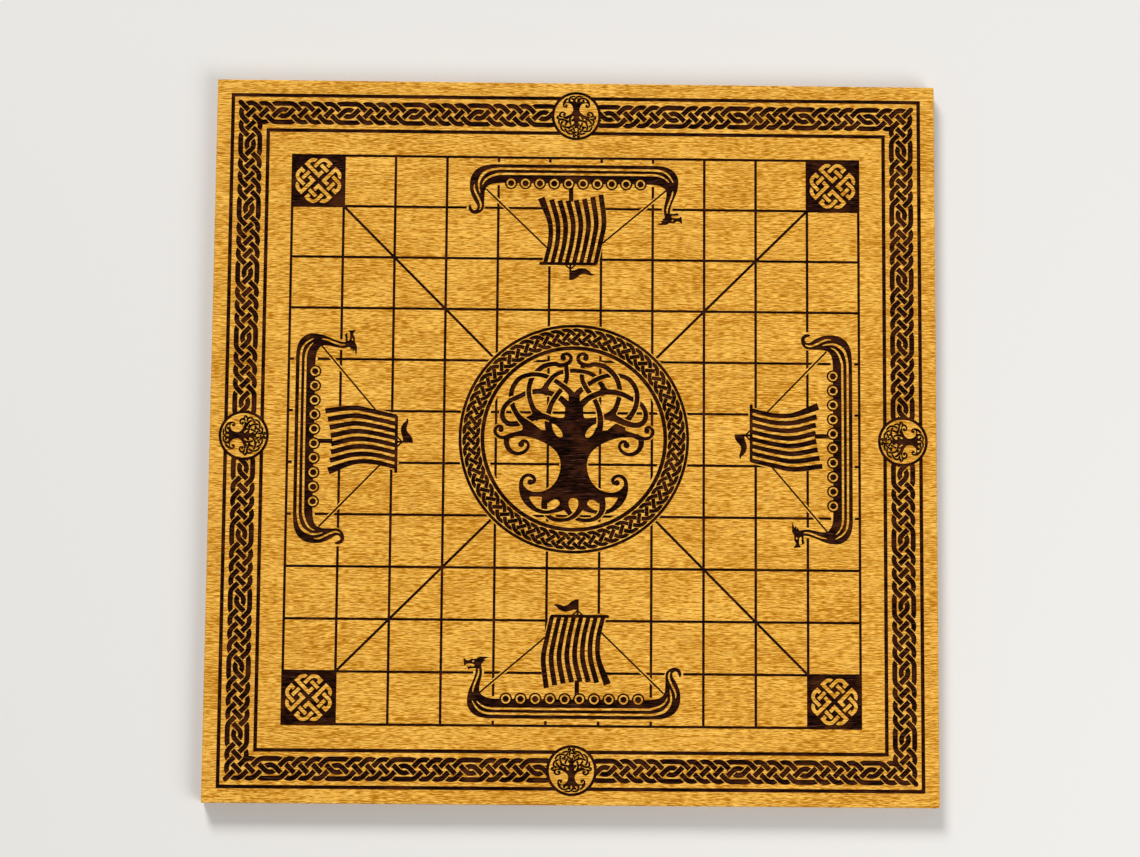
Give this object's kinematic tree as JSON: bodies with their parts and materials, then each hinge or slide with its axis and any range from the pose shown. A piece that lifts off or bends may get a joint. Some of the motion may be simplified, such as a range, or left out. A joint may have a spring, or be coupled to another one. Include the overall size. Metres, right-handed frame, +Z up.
{
  "type": "hnefatafl board",
  "caption": "Square plywood game board engraved with a ruled field, corner knots, longships on each side, a ringed tree in the middle and a framed plait border.",
  "frame": {"origin": "middle of the underside, on the plane the board rests on", "axes": "+Z up out of the play side, +X to the right and +Y up the board as the picture shows it; the face veneer's grain runs along X"},
  "size_m": [0.4, 0.4, 0.012],
  "materials": {
    "face_wood": "satin oil on amber birch, engraved lines burnt dark brown",
    "long_ply": "sanded ply edge, long grain on two sides and end grain on the others",
    "cross_ply": "sanded ply edge, grain turned a quarter from the long plies",
    "back_wood": "plain sanded and lightly oiled birch"
  },
  "bodies": {
    "root": {"face_veneer": "face_wood", "upper_crossband": "cross_ply", "upper_long_ply": "long_ply", "upper_core_crossband": "cross_ply", "core_ply": "long_ply", "lower_core_crossband": "cross_ply", "lower_long_ply": "long_ply", "lower_crossband": "cross_ply", "back_veneer": "back_wood"}
  },
  "joints": []
}
